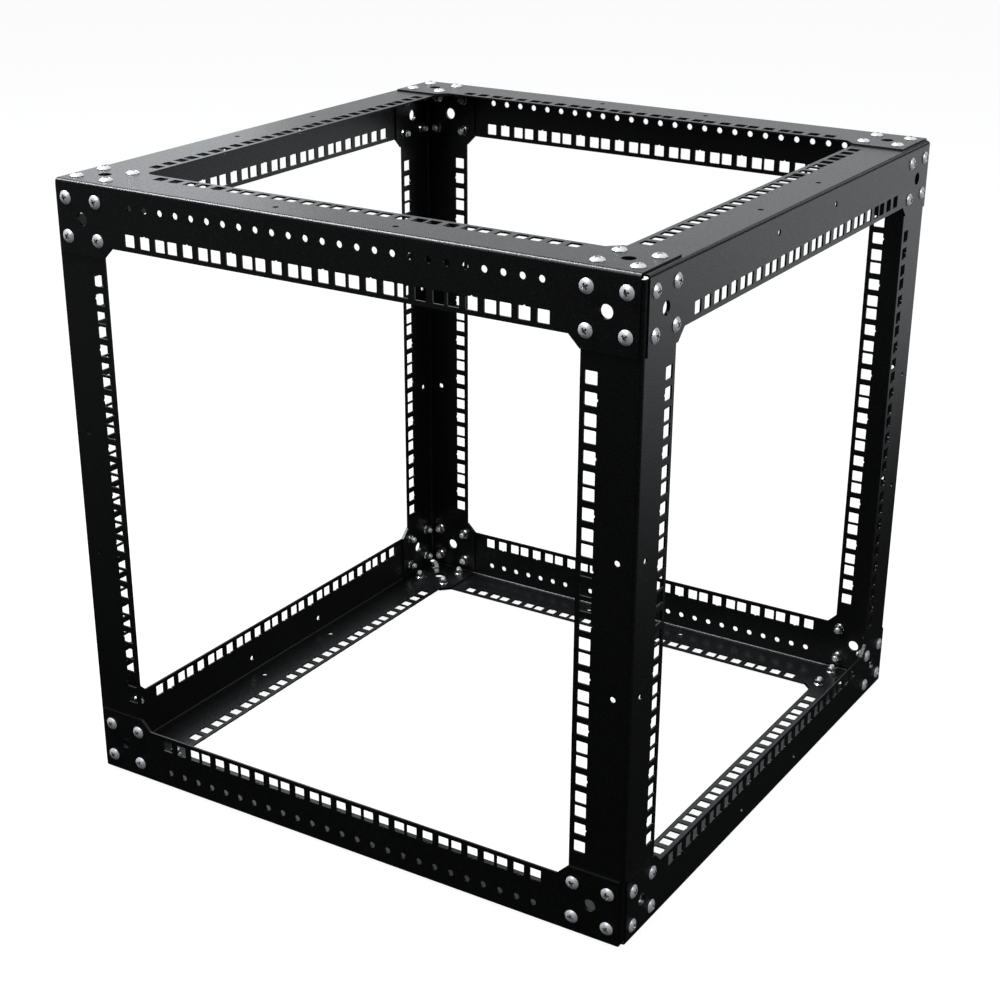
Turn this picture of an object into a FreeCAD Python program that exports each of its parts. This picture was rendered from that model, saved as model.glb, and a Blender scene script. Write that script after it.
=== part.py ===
import FreeCAD, Part
import itertools
import math
import os
import re
import Sketcher

# Open equipment frame: twelve folded steel rails bolted into a cube, each rail an L whose two
# flanges carry a row of square rack holes. Millimetres. +Z is up, the front faces -Y, and the
# origin is in the middle of the footprint, level with the lowest screw heads.

SIZES = {
    # the frame, over the outer faces of its rails
    "frame_width": 550.0,
    "frame_depth": 550.0,
    "frame_height": 550.0,
    # the folded rail
    "sheet_thickness": 1.5,
    "bend_radius": 1.5,
    "flange_width": 51.5,
    "gusset_leg": 9.5,
    "end_clearance": 0.5,
    # square rack holes, three to a rack unit, and the round notch beside the middle one
    "rack_unit": 44.45,
    "hole_step": 15.875,
    "square_hole": 10.4,
    "square_corner": 0.8,
    "edge_land": 3.85,
    "notch_hole": 3.0,
    "notch_shift": 0.6,
    # round holes along the face of each width rail
    "round_hole": 5.6,
    "round_pitch": 16.0,
    "round_inset": 15.5,
    # pair of small holes near the middle of every other flange
    "pair_hole": 5.0,
    "pair_spacing": 112.0,
    "pair_inset": 17.0,
    # the square of four screws at each corner, around a wider open hole
    "screw_inset": 15.0,
    "screw_spacing": 32.0,
    "corner_hole": 11.0,
    "screw_clearance": 0.5,
    # truss head screw
    "screw_diameter": 5.0,
    "screw_length": 10.0,
    "screw_chamfer": 0.5,
    "head_diameter": 11.6,
    "head_height": 2.5,
    "head_rim": 0.5,
    "head_flat": 3.0,
    "recess_arm": 5.4,
    "recess_slot": 1.3,
    "recess_depth": 1.6,
    # hexagon nut with a round flange
    "nut_flats": 8.0,
    "nut_height": 5.0,
    "nut_chamfer": 0.5,
    "nut_flange": 10.8,
    "nut_flange_thickness": 1.0,
    "thread_clearance": 0.1,
}

SHEET_NAME = "Sizes"
ALIASES = re.compile(r"\b(" + "|".join(SIZES) + r")\b")

# lengths that several pieces share, written in terms of the sizes
CORNER_REACH = "(flange_width + gusset_leg)"
ROW_INSET = "(flange_width - edge_land - square_hole / 2)"
SQUARE_CENTRE = "(screw_inset + screw_spacing / 2)"
GRIP = "(2 * sheet_thickness)"
# a rail stops short of the inside of the folds that cross its ends
END_GAP = "(2 * sheet_thickness + bend_radius + end_clearance)"
FIRST_OF_FOUR = "(-screw_spacing / 2)"

# overall span of each kind of rail, and how far its two outer planes lie inside the frame's
RAIL_KINDS = {
    "width": ("frame_width", "0", "0"),
    "depth": ("frame_depth", "0", "sheet_thickness"),
    "post": ("frame_height", "sheet_thickness", "sheet_thickness"),
}

ALONG = FreeCAD.Vector(1, 0, 0)
ACROSS = FreeCAD.Vector(0, 1, 0)
UP = FreeCAD.Vector(0, 0, 1)
QUARTER = 90
HALF = 180

# the frame's three directions: the words for its two sides, and its span
DIRECTIONS = (
    ("left", "right", "frame_width"),
    ("front", "back", "frame_depth"),
    ("bottom", "top", "frame_height"),
)
SIGNS = ((-1, "-"), (1, ""))


def bound(expression):
    """The expression with each size read from its cell of the sheet."""
    return ALIASES.sub(SHEET_NAME + r".\1", expression)


def drive(item, prop, expression):
    item.setExpression(prop, bound(expression))


def origin_feature(body, role):
    return next(item for item in body.Origin.OriginFeatures if item.Role == role)


def sketch_on(body, name, role, shift=None):
    """A sketch on one of the body's own planes, moved by three expressions in its own axes."""
    sketch = body.newObject("Sketcher::SketchObject", name)
    sketch.AttachmentSupport = [(origin_feature(body, role), "")]
    sketch.MapMode = "FlatFace"
    for axis, expression in (shift or {}).items():
        drive(sketch, "AttachmentOffset.Base." + axis, expression)
    return sketch


def value(sketch, expression):
    return float(sketch.evalExpression(bound(expression)))


def hold(sketch, kind, geometry, point, expression):
    """Ties one coordinate of a point to an expression; kind is DistanceX or DistanceY."""
    amount = value(sketch, expression)
    if amount == 0:
        axis = -2 if kind == "DistanceX" else -1
        sketch.addConstraint(Sketcher.Constraint("PointOnObject", geometry, point, axis))
    elif amount > 0:
        index = sketch.addConstraint(Sketcher.Constraint(kind, -1, 1, geometry, point, amount))
        drive(sketch, "Constraints[%d]" % index, expression)
    else:
        index = sketch.addConstraint(Sketcher.Constraint(kind, geometry, point, -1, 1, -amount))
        drive(sketch, "Constraints[%d]" % index, "-(" + expression + ")")


def place(sketch, geometry, point, across, up):
    hold(sketch, "DistanceX", geometry, point, across)
    hold(sketch, "DistanceY", geometry, point, up)


def outline(sketch, corners, rounded=()):
    """A closed outline through corners given as expression pairs.

    The sides whose numbers are in rounded are arcs centred on the sketch's upright axis.
    """
    spots = [FreeCAD.Vector(value(sketch, x), value(sketch, y), 0) for x, y in corners]
    count = len(corners)
    sides = []
    for number in range(count):
        start = spots[number]
        end = spots[(number + 1) % count]
        if number in rounded:
            side = crown(start, end)
        else:
            side = Part.LineSegment(start, end)
        sides.append(sketch.addGeometry(side, False))
    for number in range(count):
        before = sides[number - 1]
        end_point = 1 if (number - 1) % count in rounded else 2
        start_point = 2 if number in rounded else 1
        sketch.addConstraint(
            Sketcher.Constraint("Coincident", before, end_point, sides[number], start_point))
        place(sketch, sides[number], start_point, *corners[number])
    for number in rounded:
        sketch.addConstraint(Sketcher.Constraint("PointOnObject", sides[number], 3, -2))


def crown(start, end):
    """The arc between two points that is centred on the upright axis."""
    level = (start.x ** 2 + start.y ** 2 - end.x ** 2 - end.y ** 2) / (2 * (start.y - end.y))
    centre = FreeCAD.Vector(0, level, 0)
    ring = Part.Circle(centre, UP, start.distanceToPoint(centre))
    return Part.ArcOfCircle(ring, ring.parameter(end), ring.parameter(start))


def circle(sketch, diameter, across, up):
    centre = FreeCAD.Vector(value(sketch, across), value(sketch, up), 0)
    size = value(sketch, diameter)
    ring = sketch.addGeometry(Part.Circle(centre, UP, size / 2), False)
    index = sketch.addConstraint(Sketcher.Constraint("Diameter", ring, size))
    drive(sketch, "Constraints[%d]" % index, diameter)
    place(sketch, ring, 3, across, up)


def pad(body, name, sketch, depth, **settings):
    feature = body.newObject("PartDesign::Pad", name)
    feature.Profile = sketch
    drive(feature, "Length", depth)
    for key, setting in settings.items():
        setattr(feature, key, setting)
    return feature


def pocket(body, name, sketch, depth=None):
    """A pocket through everything, or to the given depth."""
    feature = body.newObject("PartDesign::Pocket", name)
    feature.Profile = sketch
    if depth is None:
        feature.Type = "ThroughAll"
    else:
        drive(feature, "Length", depth)
    return feature


def row_along(body, name, role, spacing, count):
    """A row of equal steps along one of the body's axes."""
    row = body.newObject("PartDesign::LinearPattern", name)
    row.Direction = (origin_feature(body, role), [""])
    row.Mode = "Spacing"
    drive(row, "Offset", spacing)
    drive(row, "Occurrences", count)
    return row


def repeat(body, name, features, role, spacing, count):
    """Repeats the features in one row."""
    row = row_along(body, name, role, spacing, count)
    row.Originals = features
    body.Tip = row


def repeat_square(body, name, features, spacing):
    """Repeats the features at the four corners of a square."""
    grid = body.newObject("PartDesign::MultiTransform", name)
    grid.Originals = features
    grid.Transformations = [
        row_along(body, name + "_across", "X_Axis", spacing, "2"),
        row_along(body, name + "_up", "Y_Axis", spacing, "2")]
    body.Tip = grid


def fold(body, span, shelf_reach, face_reach):
    """The rail's L section with its rounded fold, as long as the span less a gap at each end."""
    sketch = sketch_on(body, body.Name + "_section", "YZ_Plane")
    radius = "(bend_radius + sheet_thickness)"
    outer = value(sketch, radius)
    sheet = value(sketch, "sheet_thickness")
    shelf = value(sketch, shelf_reach)
    face = value(sketch, face_reach)
    middle = FreeCAD.Vector(outer, -outer, 0)
    corners = [(outer, 0), (shelf, 0), (shelf, -sheet), (outer, -sheet),
               (sheet, -outer), (sheet, -face), (0, -face), (0, -outer)]
    spots = [FreeCAD.Vector(x, y, 0) for x, y in corners]
    quarter_turn = (math.pi / 2, math.pi)
    top, top_end, under = [
        sketch.addGeometry(Part.LineSegment(spots[n], spots[n + 1]), False) for n in range(3)]
    inside = sketch.addGeometry(
        Part.ArcOfCircle(Part.Circle(middle, UP, outer - sheet), *quarter_turn), False)
    back, foot, front = [
        sketch.addGeometry(Part.LineSegment(spots[n], spots[n + 1]), False) for n in range(4, 7)]
    outside = sketch.addGeometry(
        Part.ArcOfCircle(Part.Circle(middle, UP, outer), *quarter_turn), False)
    rules = [
        ("Coincident", top, 2, top_end, 1), ("Coincident", top_end, 2, under, 1),
        ("Coincident", back, 2, foot, 1), ("Coincident", foot, 2, front, 1),
        ("Tangent", under, 2, inside, 1), ("Tangent", inside, 2, back, 1),
        ("Tangent", front, 2, outside, 2), ("Tangent", outside, 1, top, 1),
        ("Coincident", inside, 3, outside, 3),
        ("Horizontal", under), ("Vertical", top_end), ("Vertical", back), ("Horizontal", foot),
    ]
    for rule in rules:
        sketch.addConstraint(Sketcher.Constraint(*rule))
    place(sketch, top, 2, shelf_reach, "0")
    place(sketch, front, 1, "0", "-" + face_reach)
    hold(sketch, "DistanceX", back, 2, "sheet_thickness")
    index = sketch.addConstraint(Sketcher.Constraint("Radius", outside, outer))
    drive(sketch, "Constraints[%d]" % index, radius)
    pad(body, body.Name + "_fold", sketch, f"{span} - 2 * {END_GAP}", SideType="Symmetric")


def gussets(body, flange, span, plane, side, inset):
    """Widens a flange to a corner plate at both ends, with a sloping edge back to its width."""
    sketch = sketch_on(body, body.Name + "_" + flange + "_gusset_outline", plane)
    free_edge = f"{side}(flange_width - {inset})"
    plate_edge = f"{side}({CORNER_REACH} - {inset})"
    for end in ("", "-"):
        tip = f"{end}({span} / 2 - {END_GAP})"
        shoulder = f"{end}({span} / 2 - flange_width)"
        foot = f"{end}({span} / 2 - {CORNER_REACH})"
        outline(sketch, [(tip, free_edge), (tip, plate_edge), (shoulder, plate_edge),
                         (foot, free_edge)])
    pad(body, body.Name + "_" + flange + "_gussets", sketch, "sheet_thickness", Reversed=True)


def rounded_square(sketch, size, corner, across, up):
    """A square hole with rounded corners, centred at across and up."""
    half = value(sketch, size) / 2
    bend = value(sketch, corner)
    middle = FreeCAD.Vector(value(sketch, across), value(sketch, up), 0)
    flat = half - bend
    lines = []
    arcs = []
    for turn in range(4):
        spin = FreeCAD.Rotation(UP, QUARTER * turn)
        start = middle + spin.multVec(FreeCAD.Vector(-flat, -half, 0))
        end = middle + spin.multVec(FreeCAD.Vector(flat, -half, 0))
        centre = middle + spin.multVec(FreeCAD.Vector(flat, -flat, 0))
        ring = Part.Circle(centre, UP, bend)
        tail = middle + spin.multVec(FreeCAD.Vector(half, -flat, 0))
        lines.append(sketch.addGeometry(Part.LineSegment(start, end), False))
        arcs.append(sketch.addGeometry(
            Part.ArcOfCircle(ring, ring.parameter(end), ring.parameter(tail)), False))
    for turn in range(4):
        following = lines[(turn + 1) % 4]
        sketch.addConstraint(Sketcher.Constraint("Tangent", lines[turn], 2, arcs[turn], 1))
        sketch.addConstraint(Sketcher.Constraint("Tangent", arcs[turn], 2, following, 1))
        if turn:
            sketch.addConstraint(Sketcher.Constraint("Equal", arcs[0], arcs[turn]))
    sketch.addConstraint(Sketcher.Constraint("Horizontal", lines[0]))
    sketch.addConstraint(Sketcher.Constraint("Vertical", lines[1]))
    sketch.addConstraint(Sketcher.Constraint("Horizontal", lines[2]))
    index = sketch.addConstraint(Sketcher.Constraint("Radius", arcs[0], bend))
    drive(sketch, "Constraints[%d]" % index, corner)
    hold(sketch, "DistanceX", lines[1], 1, f"{across} + {size} / 2")
    hold(sketch, "DistanceX", lines[3], 1, f"{across} - {size} / 2")
    hold(sketch, "DistanceY", lines[2], 1, f"{up} + {size} / 2")
    hold(sketch, "DistanceY", lines[0], 1, f"{up} - {size} / 2")


def rack_units(span):
    """How many whole rack units fit between the corner plates of a rail."""
    return f"floor(({span} - 2 * {CORNER_REACH}) / rack_unit)"


def rack_unit_holes(body, flange, span, plane, side, inset):
    """The first rack unit of a flange: three square holes, the middle one with a round notch."""
    across = f"{side}({ROW_INSET} - {inset})"
    middle = f"(rack_unit / 2 - {rack_units(span)} * rack_unit / 2)"
    label = body.Name + "_" + flange
    squares = sketch_on(body, label + "_squares", plane)
    for step in ("- hole_step", "", "+ hole_step"):
        rounded_square(squares, "square_hole", "square_corner", f"({middle} {step})", across)
    notch = sketch_on(body, label + "_notch", plane)
    circle(notch, "notch_hole", middle,
           f"{side}({ROW_INSET} - square_hole / 2 + notch_shift - {inset})")
    return [pocket(body, label + "_rack_holes", squares), pocket(body, label + "_notches", notch)]


def corner_holes(body, flange, span, plane, side, inset):
    """Four screw holes and the open hole between them, in the plate at each end."""
    sketch = sketch_on(body, body.Name + "_" + flange + "_corner_circles", plane)
    bores = ("screw_inset", "(screw_inset + screw_spacing)")
    for end in ("", "-"):
        for along in bores:
            for across in bores:
                circle(sketch, "(screw_diameter + screw_clearance)",
                       f"{end}({span} / 2 - {along})", f"{side}({across} - {inset})")
        circle(sketch, "corner_hole",
               f"{end}({span} / 2 - {SQUARE_CENTRE})", f"{side}({SQUARE_CENTRE} - {inset})")
    pocket(body, body.Name + "_" + flange + "_corner_holes", sketch)


def hole_pair(body, flange, span, plane, side, inset):
    """Two small holes near the fold, either side of the rail's middle."""
    sketch = sketch_on(body, body.Name + "_" + flange + "_pair_circles", plane)
    for end in ("", "-"):
        circle(sketch, "pair_hole", f"{end}pair_spacing / 2", f"{side}(pair_inset - {inset})")
    pocket(body, body.Name + "_" + flange + "_pair", sketch)


def round_row(body, flange, span, plane, side, inset):
    """The row of small round holes between the fold and the rack holes of a width rail."""
    row = f"({rack_units(span)} * rack_unit - round_hole)"
    count = f"(floor({row} / round_pitch) + 1)"
    sketch = sketch_on(body, body.Name + "_" + flange + "_round_circle", plane)
    circle(sketch, "round_hole", f"(-({count} - 1) * round_pitch / 2)",
           f"{side}(round_inset - {inset})")
    first = pocket(body, body.Name + "_" + flange + "_round_hole", sketch)
    repeat(body, body.Name + "_" + flange + "_round_holes", [first],
           "X_Axis", "round_pitch", count)


def rail(doc, name, kind):
    """One folded rail, centred on its length, with the outside of its fold along X.

    Its shelf flange lies under Z = 0 and runs to +Y; its face flange lies behind Y = 0 and
    hangs to -Z.
    """
    span, shelf_inset, face_inset = RAIL_KINDS[kind]
    body = doc.addObject("PartDesign::Body", name)
    body.Label = name
    fold(body, span, f"(flange_width - {shelf_inset})", f"(flange_width - {face_inset})")
    flanges = (("shelf", span, "XY_Plane", "", shelf_inset),
               ("face", span, "XZ_Plane", "-", face_inset))
    for flange in flanges:
        gussets(body, *flange)
    for flange in flanges:
        corner_holes(body, *flange)
    shelf, face = flanges
    hole_pair(body, *shelf)
    if kind != "width":
        hole_pair(body, *face)
    first_unit = rack_unit_holes(body, *shelf) + rack_unit_holes(body, *face)
    repeat(body, name + "_rack_rows", first_unit, "X_Axis", "rack_unit", rack_units(span))
    if kind == "width":
        round_row(body, *face)
    return body


def screws(doc, name):
    """Four truss head screws with a cross recess; their heads stand on Z = 0."""
    body = doc.addObject("PartDesign::Body", name)
    body.Label = name
    profile = sketch_on(body, name + "_profile", "XZ_Plane",
                        {"x": FIRST_OF_FOUR, "z": "screw_spacing / 2"})
    outline(profile, [
        ("0", "head_height"),
        ("head_flat / 2", "head_height"),
        ("head_diameter / 2", "head_rim"),
        ("head_diameter / 2", "0"),
        ("screw_diameter / 2", "0"),
        ("screw_diameter / 2", "-(screw_length - screw_chamfer)"),
        ("(screw_diameter / 2 - screw_chamfer)", "-screw_length"),
        ("0", "-screw_length"),
    ], rounded=(1,))
    turned = body.newObject("PartDesign::Revolution", name + "_turned")
    turned.Profile = profile
    turned.ReferenceAxis = (profile, ["V_Axis"])
    cross = sketch_on(body, name + "_cross", "XY_Plane",
                      {"x": FIRST_OF_FOUR, "y": FIRST_OF_FOUR, "z": "head_height"})
    arm = "recess_arm / 2"
    slot = "recess_slot / 2"
    outline(cross, [
        (slot, arm), (f"-{slot}", arm), (f"-{slot}", slot), (f"-{arm}", slot),
        (f"-{arm}", f"-{slot}"), (f"-{slot}", f"-{slot}"), (f"-{slot}", f"-{arm}"),
        (slot, f"-{arm}"), (slot, f"-{slot}"), (arm, f"-{slot}"), (arm, slot), (slot, slot)])
    recess = pocket(body, name + "_recess", cross, "recess_depth")
    repeat_square(body, name + "_square", [turned, recess], "screw_spacing")
    return body


def nuts(doc, name):
    """Four flanged hexagon nuts, seated under the two sheets that lie below Z = 0."""
    body = doc.addObject("PartDesign::Body", name)
    body.Label = name
    seat = f"-{GRIP}"
    body_top = f"(-{GRIP} - nut_flange_thickness / 2)"
    hexagon = sketch_on(body, name + "_hexagon", "XY_Plane",
                        {"x": FIRST_OF_FOUR, "y": FIRST_OF_FOUR, "z": body_top})
    flat = "nut_flats / 2"
    point = "nut_flats / sqrt(3)"
    outline(hexagon, [
        (flat, f"{point} / 2"), ("0", point), (f"-{flat}", f"{point} / 2"),
        (f"-{flat}", f"-{point} / 2"), ("0", f"-{point}"), (flat, f"-{point} / 2")])
    prism = pad(body, name + "_prism", hexagon, "(nut_height - nut_flange_thickness / 2)",
                Reversed=True)
    skirt = sketch_on(body, name + "_skirt_profile", "XZ_Plane",
                      {"x": FIRST_OF_FOUR, "z": "screw_spacing / 2"})
    outline(skirt, [
        ("0", seat),
        ("nut_flange / 2", seat),
        ("nut_flange / 2", body_top),
        (flat, f"(-{GRIP} - 2 * nut_flange_thickness)"),
        ("0", f"(-{GRIP} - 2 * nut_flange_thickness)"),
    ])
    flange = body.newObject("PartDesign::Revolution", name + "_flange")
    flange.Profile = skirt
    flange.ReferenceAxis = (skirt, ["V_Axis"])
    rim = sketch_on(body, name + "_rim_profile", "XZ_Plane",
                    {"x": FIRST_OF_FOUR, "z": "screw_spacing / 2"})
    outline(rim, [
        (flat, f"(-{GRIP} - nut_height)"),
        (f"({point} + nut_chamfer)", f"(-{GRIP} - nut_height)"),
        (f"({point} + nut_chamfer)", f"(-{GRIP} - nut_height + nut_chamfer)"),
    ])
    chamfer = body.newObject("PartDesign::Groove", name + "_chamfer")
    chamfer.Profile = rim
    chamfer.ReferenceAxis = (rim, ["V_Axis"])
    bore = sketch_on(body, name + "_bore_circle", "XY_Plane",
                     {"x": FIRST_OF_FOUR, "y": FIRST_OF_FOUR})
    circle(bore, "(screw_diameter + 2 * thread_clearance)", "0", "0")
    hole = pocket(body, name + "_bore", bore)
    repeat_square(body, name + "_square", [prism, flange, chamfer, hole], "screw_spacing")
    return body


def derived(doc, name, pattern, rotation, base):
    """A piece made like the pattern body, turned and placed by three expressions."""
    body = doc.addObject("PartDesign::Body", name)
    body.Label = name
    body.BaseFeature = pattern
    body.Placement = FreeCAD.Placement(FreeCAD.Vector(), rotation)
    for axis, expression in zip("xyz", base):
        drive(body, ".Placement.Base." + axis, expression)
    return body


def side_word(direction, sign):
    return DIRECTIONS[direction][sign > 0]


def face_height(sign, inset):
    """Height of the frame's top or bottom plane, less an inset towards its middle."""
    if sign > 0:
        return f"head_height + frame_height - {inset}"
    return f"head_height + {inset}"


def rails(doc, kind, direction, first_turn):
    """The four level rails of a kind; direction is the one that their face flanges look to."""
    pattern = rail(doc, kind + "_rail_pattern", kind)
    span = DIRECTIONS[direction][2]
    inset = RAIL_KINDS[kind][2]
    pieces = []
    for sign, minus in SIGNS:
        for level, _ in SIGNS:
            turn = first_turn + (0 if sign < 0 else HALF) + (0 if level > 0 else HALF)
            flip = FreeCAD.Rotation(ALONG, 0 if level > 0 else HALF)
            base = ["0", "0", face_height(level, inset)]
            base[direction] = f"{minus}{span} / 2"
            name = f"rail_{side_word(direction, sign)}_{side_word(2, level)}"
            spin = FreeCAD.Rotation(UP, turn)
            pieces.append(derived(doc, name, pattern, spin.multiply(flip), base))
    return pieces


def posts(doc):
    """The four uprights, inside the ends of all the other rails."""
    pattern = rail(doc, "post_pattern", "post")
    upright = FreeCAD.Rotation(ACROSS, QUARTER)
    corners = (("right", "", "front", "-"), ("right", "", "back", ""),
               ("left", "-", "back", ""), ("left", "-", "front", "-"))
    pieces = []
    for number, (x_word, x_minus, y_word, y_minus) in enumerate(corners):
        spin = FreeCAD.Rotation(UP, QUARTER * number)
        base = (f"{x_minus}(frame_width / 2 - sheet_thickness)",
                f"{y_minus}(frame_depth / 2 - sheet_thickness)",
                "head_height + frame_height / 2")
        pieces.append(
            derived(doc, f"post_{y_word}_{x_word}", pattern, spin.multiply(upright), base))
    return pieces


def fasteners(doc, word, pattern):
    """One square of four on each of the three faces that meet at every corner."""
    pieces = []
    for signs in itertools.product(SIGNS, repeat=3):
        for facing in range(3):
            others = [axis for axis in (2, 1, 0) if axis != facing]
            name = "_".join([word] + [side_word(axis, signs[axis][0])
                                      for axis in [facing] + others])
            base = []
            for axis, (sign, minus) in enumerate(signs):
                inset = "0" if axis == facing else SQUARE_CENTRE
                if axis == 2:
                    base.append(face_height(sign, inset))
                else:
                    base.append(f"{minus}({DIRECTIONS[axis][2]} / 2 - {inset})")
            normal = FreeCAD.Vector(*[signs[facing][0] if axis == facing else 0
                                      for axis in range(3)])
            pieces.append(derived(doc, name, pattern, FreeCAD.Rotation(UP, normal), base))
    return pieces


def size_sheet(doc):
    sheet = doc.addObject("Spreadsheet::Sheet", SHEET_NAME)
    for row, (alias, size) in enumerate(SIZES.items(), start=1):
        sheet.set("A%d" % row, alias)
        sheet.set("B%d" % row, str(size))
        sheet.setAlias("B%d" % row, alias)
    doc.recompute()


def check(doc, pieces):
    """Stops unless every feature worked, every cut took something and every piece is sound."""
    for item in doc.Objects:
        if {"Invalid", "Error"} & set(item.State):
            raise RuntimeError("%s failed: %s" % (item.Name, item.getStatusString()))
        if item.TypeId in ("PartDesign::Pocket", "PartDesign::Groove"):
            if not item.Shape.Volume < item.BaseFeature.Shape.Volume:
                raise RuntimeError(item.Name + " cuts nothing")
    for piece, solids in pieces:
        if piece.Shape.isNull() or not piece.Shape.isValid():
            raise RuntimeError(piece.Label + " has no sound shape")
        if len(piece.Shape.Solids) != solids:
            raise RuntimeError(piece.Label + " has a wrong number of solids")


def main():
    doc = FreeCAD.newDocument("equipment_frame")
    size_sheet(doc)
    frame_rails = rails(doc, "width", 1, 0) + rails(doc, "depth", 0, -QUARTER) + posts(doc)
    screw_squares = fasteners(doc, "screws", screws(doc, "screw_pattern"))
    nut_squares = fasteners(doc, "nuts", nuts(doc, "nut_pattern"))
    doc.recompute()
    pieces = [(piece, 1) for piece in frame_rails]
    pieces += [(piece, 4) for piece in screw_squares + nut_squares]
    check(doc, pieces)
    os.makedirs("parts", exist_ok=True)
    for piece, _ in pieces:
        piece.Shape.exportStep(os.path.join("parts", piece.Label + ".step"))
        print("%-28s %8.1f mm3" % (piece.Label, piece.Shape.Volume))


main()
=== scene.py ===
import math
import random

import bmesh
import bpy
from mathutils import Matrix, Vector


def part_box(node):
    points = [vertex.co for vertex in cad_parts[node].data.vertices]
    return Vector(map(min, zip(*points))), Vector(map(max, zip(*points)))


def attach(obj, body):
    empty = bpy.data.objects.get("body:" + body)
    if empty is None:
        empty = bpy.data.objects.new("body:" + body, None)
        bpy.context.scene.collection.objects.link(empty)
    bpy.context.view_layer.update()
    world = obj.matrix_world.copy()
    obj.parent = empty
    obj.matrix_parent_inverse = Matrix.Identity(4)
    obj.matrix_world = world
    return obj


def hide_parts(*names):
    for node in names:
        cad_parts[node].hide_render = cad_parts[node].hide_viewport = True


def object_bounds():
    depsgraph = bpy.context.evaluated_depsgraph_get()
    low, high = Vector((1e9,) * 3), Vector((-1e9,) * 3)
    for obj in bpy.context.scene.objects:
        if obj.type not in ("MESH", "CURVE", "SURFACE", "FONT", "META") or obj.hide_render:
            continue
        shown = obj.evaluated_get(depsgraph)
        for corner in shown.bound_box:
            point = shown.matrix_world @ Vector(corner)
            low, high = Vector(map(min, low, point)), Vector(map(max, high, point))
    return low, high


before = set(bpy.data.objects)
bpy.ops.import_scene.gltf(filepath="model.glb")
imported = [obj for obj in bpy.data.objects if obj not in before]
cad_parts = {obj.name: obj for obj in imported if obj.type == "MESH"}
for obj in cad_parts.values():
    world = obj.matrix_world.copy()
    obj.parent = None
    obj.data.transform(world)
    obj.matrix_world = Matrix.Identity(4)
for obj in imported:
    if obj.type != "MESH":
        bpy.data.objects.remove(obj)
cad_low, cad_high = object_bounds()

# Open rack frame of folded, powder coated rails. Metres, in the frame's own axes. The screws and
# nuts are turned and cut again here in full detail, each where the design has it.

MM = 0.001
UP = Vector((0, 0, 1))
FACE_NORMALS = {
    "front": Vector((0, -1, 0)), "back": Vector((0, 1, 0)),
    "left": Vector((-1, 0, 0)), "right": Vector((1, 0, 0)),
    "bottom": Vector((0, 0, -1)), "top": Vector((0, 0, 1)),
}

# truss head screw
HEAD_RADIUS = 5.8 * MM
HEAD_HEIGHT = 2.5 * MM
HEAD_RIM = 0.45 * MM
HEAD_FLAT = 1.5 * MM
HEAD_CURVE = 2.1
HEAD_STEPS = 7
EDGE_BREAK = 0.15 * MM
RECESS_REACH = 3.5 * MM
RECESS_WIDTH = 1.9 * MM
RECESS_DEPTH = 1.9 * MM
RECESS_TAPER = 0.5
SHANK_RADIUS = 2.5 * MM
SHANK_LENGTH = 10.0 * MM
THREAD_PITCH = 0.8 * MM
THREAD_DEPTH = 0.35 * MM
THREAD_TURNS = 3
SCREW_SIDES = 32

# hexagon nut with a flange
NUT_FLATS = 8.0 * MM
NUT_HEIGHT = 5.0 * MM
NUT_CORNER_DROP = math.radians(30)
NUT_FACE_SHARE = 0.97
FLANGE_RADIUS = 5.4 * MM
FLANGE_EDGE = 0.55 * MM
FLANGE_RISE = 1.5 * MM
BORE_RADIUS = 2.6 * MM
BORE_FLARE = 0.35 * MM
NUT_SIDES = 32

SHARP_ANGLE = math.radians(32)
SEED = 19

# camera: where it stands round the frame's middle, and where it points
CAMERA_AZIMUTH = math.radians(31.44)
CAMERA_ELEVATION = math.radians(20.74)
CAMERA_DISTANCE = 1.737
AIM_AZIMUTH = math.radians(31.74)
AIM_TILT = math.radians(23.78)
CAMERA_ROLL = math.radians(0.32)
CAMERA_LENS = 68.0
CAMERA_SENSOR = 36
CAMERA_SHIFT = (-0.0014, 0.0564)

# black powder coat: its darkest and palest shade, and its specks
COAT_DARK = (0.0012, 0.0013, 0.0014)
COAT_PALE = (0.0022, 0.0023, 0.0025)
COAT_SPECK = (0.014, 0.0145, 0.015)
COAT_ROUGHNESS = (0.25, 0.36)
COAT_BUMP = (0.4, 0.25 * MM)

# zinc plate: bright and dull shade, roughness, and how metallic it looks
SCREW_ZINC = ((0.74, 0.74, 0.75), (0.6, 0.6, 0.61), 0.34, 0.4)
# the recess's zinc is darker and duller than the head's: painted shade inside the cross recess
RECESS_PAINTED_SHADE_ZINC = ((0.42, 0.42, 0.42), (0.24, 0.24, 0.24), 0.3, 0.8)
NUT_ZINC = ((0.74, 0.74, 0.73), (0.52, 0.52, 0.52), 0.2, 1.0)
ZINC_BUMP = (0.12, 0.03 * MM)

# noise sizes, in cells to a metre
COAT_GRAIN = 750
COAT_CLOUD = 14
COAT_SPECKS = 1100
ZINC_CLOUD = 420
ZINC_SCRATCHES = 5200

# studio: the colour of its light, the floor, and how bright the floor looks and glows
COOL = (0.94, 0.97, 1.0)
FLOOR_HALF_SIZE = 8
FLOOR_WHITE = 0.93
FLOOR_SHADE = (0.14, 0.14, 0.14)
# the glow, along X or Y: where it starts, where it is full, and what it is at each
GLOW_RIGHT = (0.5, 0.8, 0, 0.9)
GLOW_BACK = (0.05, 1.5, 0, 1)
GLOW_CURVE = 1.5
GLOW_LEFT = (-0.4, -1.1, 0.02, 0.1)
# the light of the surroundings: by the sine of the height, where it starts and is full, as above
SKY_LIGHT = (0.5, 1, 0.03, 0.4)

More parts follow.
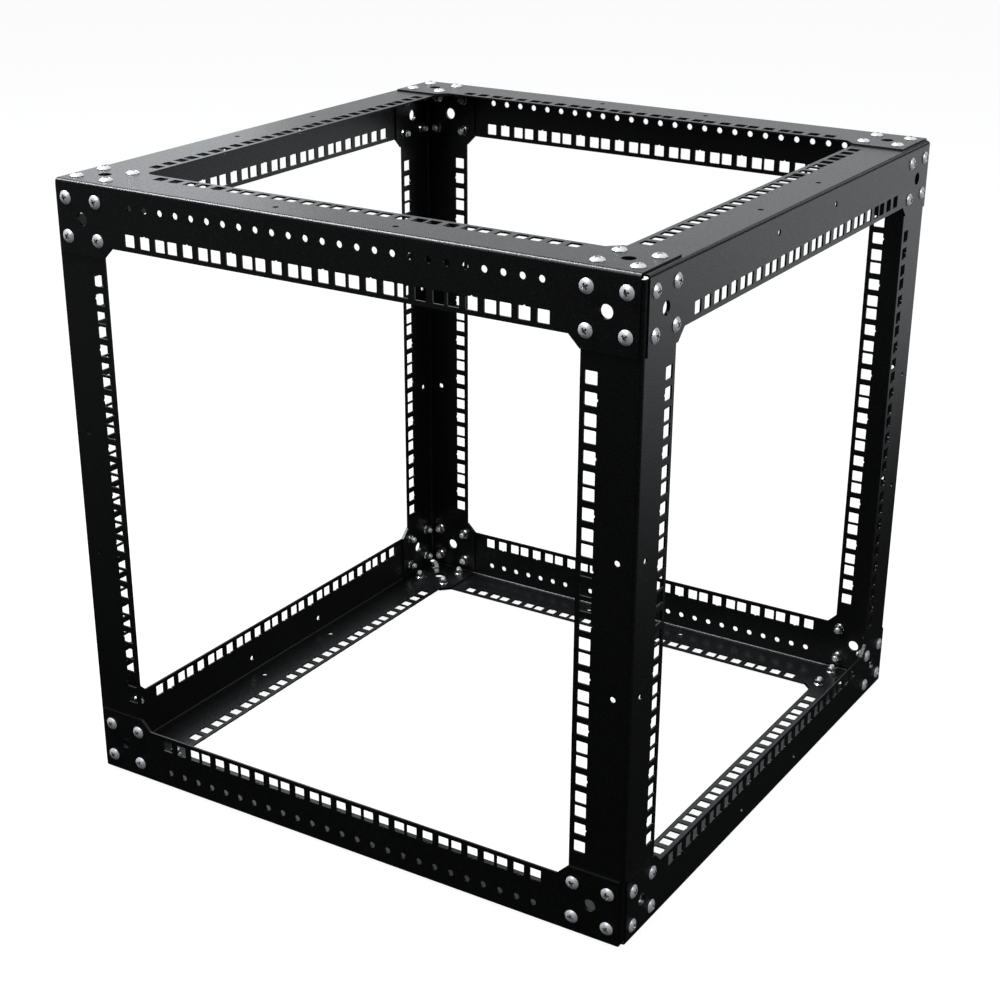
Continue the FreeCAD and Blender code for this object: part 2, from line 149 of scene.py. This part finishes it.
# softboxes aimed at the frame's middle, then those aimed at the middle of its top: name,
# direction, distance, size (width, height) and radiance
MIDDLE_LIGHTS = (
    ("overhead", (-0.487, -0.2, 0.85), 2.6, (0.6, 1.5), 36),
    ("key", (-0.1, -0.75, 0.65), 2.6, (1.4, 1.4), 4),
    ("side", (0.9, -0.1, 0.5), 2.4, (1.2, 1.2), 7),
)
TOP_LIGHTS = (
    ("back_panel", (-0.5, 0.798, 0.33), 1.1, (1.3, 0.9), 0.85),
    ("left_panel", (-1.14, 0.49, 0.36), 1.3, (0.9, 0.9), 0.75),
    ("far_panel", (0.354, 0.798, 0.45), 1.3, (0.5, 0.8), 0.9),
)


# ---------------------------------------------------------------- node helpers

class Shader:
    """A node tree under construction."""

    def __init__(self, tree):
        self.tree = tree
        tree.nodes.clear()

    def node(self, kind, **settings):
        made = self.tree.nodes.new(kind)
        for name, value in settings.items():
            setattr(made, name, value)
        return made

    def join(self, source, target):
        self.tree.links.new(source, target)
        return target.node

    def noise(self, coords, scale, detail=3.0, roughness=0.5):
        made = self.node("ShaderNodeTexNoise")
        made.inputs["Scale"].default_value = scale
        made.inputs["Detail"].default_value = detail
        made.inputs["Roughness"].default_value = roughness
        self.join(coords, made.inputs["Vector"])
        return made.outputs["Fac"]

    def remap(self, value, low, high, out_low, out_high):
        made = self.node("ShaderNodeMapRange")
        for name, amount in (("From Min", low), ("From Max", high),
                             ("To Min", out_low), ("To Max", out_high)):
            made.inputs[name].default_value = amount
        self.join(value, made.inputs["Value"])
        return made.outputs["Result"]

    def blend(self, factor, first, second):
        """A colour between two, by a factor; each is a colour or a socket."""
        made = self.node("ShaderNodeMix", data_type="RGBA")
        for name, colour in (("A", first), ("B", second)):
            socket = next(s for s in made.inputs if s.name == name and s.type == "RGBA")
            if isinstance(colour, tuple):
                socket.default_value = (*colour, 1)
            else:
                self.join(colour, socket)
        self.join(factor, made.inputs["Factor"])
        return next(s for s in made.outputs if s.type == "RGBA")

    def bump(self, height, strength, distance, under=None):
        made = self.node("ShaderNodeBump")
        made.inputs["Strength"].default_value = strength
        made.inputs["Distance"].default_value = distance
        self.join(height, made.inputs["Height"])
        if under is not None:
            self.join(under, made.inputs["Normal"])
        return made.outputs["Normal"]


def new_material(name):
    material = bpy.data.materials.new(name)
    material.use_nodes = True
    shader = Shader(material.node_tree)
    surface = shader.node("ShaderNodeBsdfPrincipled")
    shader.join(surface.outputs["BSDF"],
                shader.node("ShaderNodeOutputMaterial").inputs["Surface"])
    coords = shader.node("ShaderNodeTexCoord").outputs["Object"]
    return material, shader, surface, coords


# ---------------------------------------------------------------- finishes

def powder_coat():
    """Black satin powder coat: a fine pebbled skin with a few pale specks."""
    material, shader, surface, coords = new_material("black_powder_coat")
    grain = shader.noise(coords, COAT_GRAIN, detail=3.0, roughness=0.7)
    cloud = shader.noise(coords, COAT_CLOUD, detail=4.0)
    specks = shader.remap(shader.noise(coords, COAT_SPECKS, detail=1.0), 0.6, 0.75, 0, 1)
    shade = shader.blend(shader.remap(cloud, 0.3, 0.7, 0, 1), COAT_DARK, COAT_PALE)
    shader.join(shader.blend(specks, shade, COAT_SPECK), surface.inputs["Base Color"])
    shader.join(shader.remap(grain, 0.3, 0.7, *COAT_ROUGHNESS), surface.inputs["Roughness"])
    shader.join(shader.bump(grain, *COAT_BUMP), surface.inputs["Normal"])
    return material


def zinc(name, bright, dull, rough, metallic):
    """Zinc plate: soft cloudy brightness over a finely scratched metal."""
    material, shader, surface, coords = new_material(name)
    surface.inputs["Metallic"].default_value = metallic
    cloud = shader.noise(coords, ZINC_CLOUD, detail=4.0, roughness=0.6)
    fine = shader.noise(coords, ZINC_SCRATCHES, detail=2.0)
    shader.join(shader.blend(shader.remap(cloud, 0.35, 0.65, 0, 1), dull, bright),
                surface.inputs["Base Color"])
    shader.join(shader.remap(cloud, 0.3, 0.7, rough + 0.08, rough - 0.06),
                surface.inputs["Roughness"])
    shader.join(shader.bump(fine, *ZINC_BUMP), surface.inputs["Normal"])
    return material


# ---------------------------------------------------------------- shapes

def turned(profile, sides):
    """A closed body turned about Z from (radius, height) points that start and end on the axis."""
    bm = bmesh.new()
    verts = [bm.verts.new((radius, 0, height)) for radius, height in profile]
    edges = [bm.edges.new(pair) for pair in zip(verts, verts[1:])]
    bmesh.ops.spin(bm, geom=verts + edges, axis=UP, cent=(0, 0, 0), angle=math.tau,
                   steps=sides, use_merge=True, use_duplicate=False)
    bmesh.ops.remove_doubles(bm, verts=bm.verts, dist=0.001 * MM)
    bmesh.ops.recalc_face_normals(bm, faces=bm.faces)
    return bm


def as_mesh(bm, name):
    mesh = bpy.data.meshes.new(name)
    bm.to_mesh(mesh)
    bm.free()
    return mesh


def carved(name, body, cuts):
    """The body mesh after booleans with (operation, mesh) pairs, as a new mesh."""
    host = bpy.data.objects.new(name, body)
    bpy.context.scene.collection.objects.link(host)
    tools = []
    for number, (operation, mesh) in enumerate(cuts):
        tool = bpy.data.objects.new("%s_tool_%d" % (name, number), mesh)
        bpy.context.scene.collection.objects.link(tool)
        cut = host.modifiers.new(operation, "BOOLEAN")
        cut.operation = operation
        cut.solver = "EXACT"
        cut.object = tool
        tools.append(tool)
    bpy.context.view_layer.update()
    result = bpy.data.meshes.new_from_object(
        host.evaluated_get(bpy.context.evaluated_depsgraph_get()))
    for item in tools + [host]:
        bpy.data.objects.remove(item)
    return result


def crown_height(radius):
    """Height of the head's dome at a radius."""
    share = max(0, (radius - HEAD_FLAT) / (HEAD_RADIUS - HEAD_FLAT))
    return HEAD_HEIGHT - (HEAD_HEIGHT - HEAD_RIM) * share ** HEAD_CURVE


def crown_profile():
    """The head from the middle of its crown to its seat: a low dome and a rolled edge."""
    points = [(0, HEAD_HEIGHT)]
    for step in range(HEAD_STEPS + 1):
        share = math.sin(step / HEAD_STEPS * math.pi / 2)
        radius = HEAD_FLAT + (HEAD_RADIUS - HEAD_FLAT) * share
        points.append((radius, crown_height(radius)))
    points.append((HEAD_RADIUS, EDGE_BREAK))
    points.append((HEAD_RADIUS - EDGE_BREAK, 0))
    return points


def shank_profile():
    """The shank down to its last turns, where the thread's crests and roots show."""
    root = SHANK_RADIUS - THREAD_DEPTH
    level = THREAD_PITCH * THREAD_TURNS - SHANK_LENGTH
    points = [(SHANK_RADIUS, 0), (SHANK_RADIUS, level)]
    for turn in range(THREAD_TURNS):
        points.append((root, level - THREAD_PITCH / 2))
        level -= THREAD_PITCH
        points.append((SHANK_RADIUS if turn < THREAD_TURNS - 1 else root, level))
    return points + [(0, level)]


def recess_slot(turn):
    """One of the two tapered slots of the cross, turned about Z."""
    bm = bmesh.new()
    depth = RECESS_DEPTH + MM
    bmesh.ops.create_cube(bm, size=1)
    bmesh.ops.scale(bm, vec=(RECESS_REACH * 2, RECESS_WIDTH, depth), verts=bm.verts)
    bmesh.ops.translate(bm, vec=(0, 0, HEAD_HEIGHT + MM - depth / 2), verts=bm.verts)
    tip = [v for v in bm.verts if v.co.z < HEAD_HEIGHT]
    bmesh.ops.scale(bm, vec=(RECESS_TAPER, RECESS_TAPER, 1), verts=tip)
    bmesh.ops.rotate(bm, cent=(0, 0, 0), matrix=Matrix.Rotation(turn, 3, "Z"), verts=bm.verts)
    return as_mesh(bm, "recess_slot")


def shade_by_angle(mesh, recess=False):
    """Smooth faces with sharp corners; the faces inside a recess take the second material, a darker
    zinc that paints shade into the recess.
    """
    bm = bmesh.new()
    bm.from_mesh(mesh)
    for edge in bm.edges:
        edge.smooth = len(edge.link_faces) == 2 and edge.calc_face_angle() < SHARP_ANGLE
    for face in bm.faces:
        face.smooth = True
        middle = face.calc_center_median()
        reach = math.hypot(middle.x, middle.y)
        inside = reach < RECESS_REACH and 0 < middle.z < crown_height(reach) - EDGE_BREAK
        face.material_index = int(recess and inside)
    bm.to_mesh(mesh)
    bm.free()
    return mesh


def screw_shape():
    body = as_mesh(turned(crown_profile() + shank_profile(), SCREW_SIDES), "screw_body")
    slots = [("DIFFERENCE", recess_slot(turn)) for turn in (0, math.pi / 2)]
    return shade_by_angle(carved("screw", body, slots), recess=True)


def nut_shape():
    """Flanged nut seated on Z 0: a chamfered hexagon on a sloping flange, bored through."""
    bm = bmesh.new()
    corner = NUT_FLATS / math.sqrt(3)
    bmesh.ops.create_cone(bm, cap_ends=True, segments=6, radius1=corner, radius2=corner,
                          depth=NUT_HEIGHT - FLANGE_EDGE / 2)
    bmesh.ops.translate(bm, vec=(0, 0, (NUT_HEIGHT + FLANGE_EDGE / 2) / 2), verts=bm.verts)
    face_radius = NUT_FLATS / 2 * NUT_FACE_SHARE
    outer = FLANGE_RADIUS + MM
    drop = (outer - face_radius) * math.tan(NUT_CORNER_DROP)
    chamfer = turned([(0, NUT_HEIGHT), (face_radius, NUT_HEIGHT), (outer, NUT_HEIGHT - drop),
                      (outer, -MM), (0, -MM)], NUT_SIDES)
    flange = turned([(0, FLANGE_RISE), (NUT_FLATS / 2, FLANGE_RISE), (FLANGE_RADIUS, FLANGE_EDGE),
                     (FLANGE_RADIUS, EDGE_BREAK), (FLANGE_RADIUS - EDGE_BREAK, 0), (0, 0)],
                    NUT_SIDES)
    flare = BORE_RADIUS + BORE_FLARE
    bore = turned([(0, NUT_HEIGHT + MM), (flare, NUT_HEIGHT + MM), (flare, NUT_HEIGHT),
                   (BORE_RADIUS, NUT_HEIGHT - BORE_FLARE), (BORE_RADIUS, -MM), (0, -MM)],
                  NUT_SIDES)
    cuts = [("INTERSECT", as_mesh(chamfer, "nut_chamfer")), ("UNION", as_mesh(flange, "nut_flange")),
            ("DIFFERENCE", as_mesh(bore, "nut_bore"))]
    return shade_by_angle(carved("nut", as_mesh(bm, "nut_hexagon"), cuts))


def squares_of_four(node, radius, normal):
    """The four centres that a fastener node holds, in the plane of its outermost side."""
    low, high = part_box(node)
    axis = max(range(3), key=lambda n: abs(normal[n]))
    level = high[axis] if normal[axis] > 0 else low[axis]
    across, up = [n for n in range(3) if n != axis]
    for x in (low[across] + radius, high[across] - radius):
        for y in (low[up] + radius, high[up] - radius):
            centre = Vector((0, 0, 0))
            centre[axis], centre[across], centre[up] = level, x, y
            yield centre


def stamped(name, shape, places, materials):
    """One object with a copy of the shape at each place."""
    bm = bmesh.new()
    for place in places:
        copy = shape.copy()
        copy.transform(place)
        bm.from_mesh(copy)
        bpy.data.meshes.remove(copy)
    piece = bpy.data.objects.new(name, as_mesh(bm, name))
    for material in materials:
        piece.data.materials.append(material)
    bpy.context.scene.collection.objects.link(piece)
    return piece


def fasteners():
    """Every square of four screws, and of four nuts, each turned its own way in its hole."""
    draw = random.Random(SEED)
    screw, nut = screw_shape(), nut_shape()
    plate = zinc("zinc_screw", *SCREW_ZINC)
    # the recess faces take a darker copy of the zinc: painted shade inside the cross
    recess = zinc("zinc_recess_painted_shade", *RECESS_PAINTED_SHADE_ZINC)
    nut_plate = zinc("zinc_nut", *NUT_ZINC)
    for node in sorted(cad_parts):
        word, facing = node.split("_")[:2]
        if word not in ("screws", "nuts"):
            continue
        normal = FACE_NORMALS[facing]
        is_screw = word == "screws"
        axis = normal if is_screw else -normal
        lift = -HEAD_HEIGHT if is_screw else 0
        radius = HEAD_RADIUS if is_screw else FLANGE_RADIUS
        places = []
        for centre in squares_of_four(node, radius, normal):
            spin = Matrix.Rotation(draw.uniform(0, math.tau), 4, "Z")
            turn = axis.to_track_quat("Z", "Y").to_matrix().to_4x4()
            places.append(Matrix.Translation(centre + normal * lift) @ turn @ spin)
        materials = [plate, recess] if is_screw else [nut_plate]
        piece = stamped(node + "_made", screw if is_screw else nut, places, materials)
        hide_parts(node)
        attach(piece, "root")


def coat_rails():
    coat = powder_coat()
    for node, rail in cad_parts.items():
        if node.startswith(("rail_", "post_")):
            for slot in rail.material_slots:
                slot.material = coat


# ---------------------------------------------------------------- studio

def look_from(azimuth, elevation):
    """Unit vector from the frame's middle towards a place round it."""
    return Vector((math.sin(azimuth) * math.cos(elevation),
                   -math.cos(azimuth) * math.cos(elevation), math.sin(elevation)))


def camera():
    data = bpy.data.cameras.new("camera")
    data.lens = CAMERA_LENS
    data.sensor_width = CAMERA_SENSOR
    data.shift_x, data.shift_y = CAMERA_SHIFT
    made = bpy.data.objects.new("camera", data)
    middle = (cad_low + cad_high) / 2
    made.location = middle + look_from(CAMERA_AZIMUTH, CAMERA_ELEVATION) * CAMERA_DISTANCE
    made.rotation_mode = "QUATERNION"
    aim = (-look_from(AIM_AZIMUTH, AIM_TILT)).to_track_quat("-Z", "Y")
    made.rotation_quaternion = aim @ Matrix.Rotation(CAMERA_ROLL, 3, "Z").to_quaternion()
    bpy.context.scene.collection.objects.link(made)
    bpy.context.scene.camera = made


def softbox(name, target, direction, distance, size, radiance):
    """A soft light, size (width, height), that faces a target from a direction."""
    data = bpy.data.lights.new(name, "AREA")
    data.shape = "RECTANGLE"
    data.size, data.size_y = size
    data.energy = radiance * math.pi * size[0] * size[1]
    data.color = COOL
    made = bpy.data.objects.new(name, data)
    towards = Vector(direction).normalized()
    made.location = target + towards * distance
    made.rotation_mode = "QUATERNION"
    made.rotation_quaternion = (-towards).to_track_quat("-Z", "Y")
    made.visible_camera = False
    bpy.context.scene.collection.objects.link(made)


def softboxes():
    middle = (cad_low + cad_high) / 2
    top = Vector((middle.x, middle.y, cad_high.z))
    for lights, target in ((MIDDLE_LIGHTS, middle), (TOP_LIGHTS, top)):
        for name, direction, distance, size, radiance in lights:
            softbox(name, target, direction, distance, size, radiance)


def seen_and_cast(shader, seen, cast, output):
    """Joins to the output what the camera sees, and what every other ray meets."""
    both = shader.node("ShaderNodeMixShader")
    shader.join(shader.node("ShaderNodeLightPath").outputs["Is Camera Ray"], both.inputs[0])
    shader.join(cast, both.inputs[1])
    shader.join(seen, both.inputs[2])
    shader.join(both.outputs["Shader"], output.inputs["Surface"])


def studio_world():
    """White surroundings to look at; their light is faint, a little stronger from above."""
    world = bpy.data.worlds.new("studio")
    world.use_nodes = True
    bpy.context.scene.world = world
    shader = Shader(world.node_tree)
    coords = shader.node("ShaderNodeTexCoord").outputs["Generated"]
    parts = shader.node("ShaderNodeSeparateXYZ")
    shader.join(coords, parts.inputs[0])
    seen = shader.node("ShaderNodeBackground")
    cast = shader.node("ShaderNodeBackground")
    shader.join(shader.remap(parts.outputs["Z"], *SKY_LIGHT), cast.inputs["Strength"])
    seen.inputs["Color"].default_value = (1, 1, 1, 1)
    cast.inputs["Color"].default_value = (*COOL, 1)
    seen_and_cast(shader, seen.outputs["Background"], cast.outputs["Background"],
                  shader.node("ShaderNodeOutputWorld"))


def floor():
    """Plain pale floor with a faint shadow; its own glow on the frame grows to the back right."""
    bm = bmesh.new()
    bmesh.ops.create_grid(bm, x_segments=1, y_segments=1, size=FLOOR_HALF_SIZE)
    bmesh.ops.translate(bm, vec=(0, 0, cad_low.z), verts=bm.verts)
    ground = bpy.data.objects.new("floor", as_mesh(bm, "floor"))
    bpy.context.scene.collection.objects.link(ground)
    material = bpy.data.materials.new("pale_floor")
    material.use_nodes = True
    shader = Shader(material.node_tree)
    parts = shader.node("ShaderNodeSeparateXYZ")
    shader.join(shader.node("ShaderNodeTexCoord").outputs["Object"], parts.inputs[0])
    right = shader.remap(parts.outputs["X"], *GLOW_RIGHT)
    back = shader.remap(parts.outputs["Y"], *GLOW_BACK)
    curved = shader.node("ShaderNodeMath", operation="POWER")
    shader.join(back, curved.inputs[0])
    curved.inputs[1].default_value = GLOW_CURVE
    patch = shader.node("ShaderNodeMath", operation="MULTIPLY")
    shader.join(right, patch.inputs[0])
    shader.join(curved.outputs[0], patch.inputs[1])
    left = shader.remap(parts.outputs["X"], *GLOW_LEFT)
    glow = shader.node("ShaderNodeMath", operation="ADD")
    shader.join(patch.outputs[0], glow.inputs[0])
    shader.join(left, glow.inputs[1])
    cast = shader.node("ShaderNodeEmission")
    shader.join(glow.outputs[0], cast.inputs["Strength"])
    cast.inputs["Color"].default_value = (*COOL, 1)
    plain = shader.node("ShaderNodeEmission")
    plain.inputs["Strength"].default_value = FLOOR_WHITE
    shaded = shader.node("ShaderNodeBsdfDiffuse")
    shaded.inputs["Color"].default_value = (*FLOOR_SHADE, 1)
    seen = shader.node("ShaderNodeAddShader")
    shader.join(plain.outputs["Emission"], seen.inputs[0])
    shader.join(shaded.outputs["BSDF"], seen.inputs[1])
    seen_and_cast(shader, seen.outputs["Shader"], cast.outputs["Emission"],
                  shader.node("ShaderNodeOutputMaterial"))
    ground.data.materials.append(material)


coat_rails()
fasteners()
camera()
studio_world()
floor()
softboxes()
bpy.context.scene.view_settings.view_transform = "Standard"
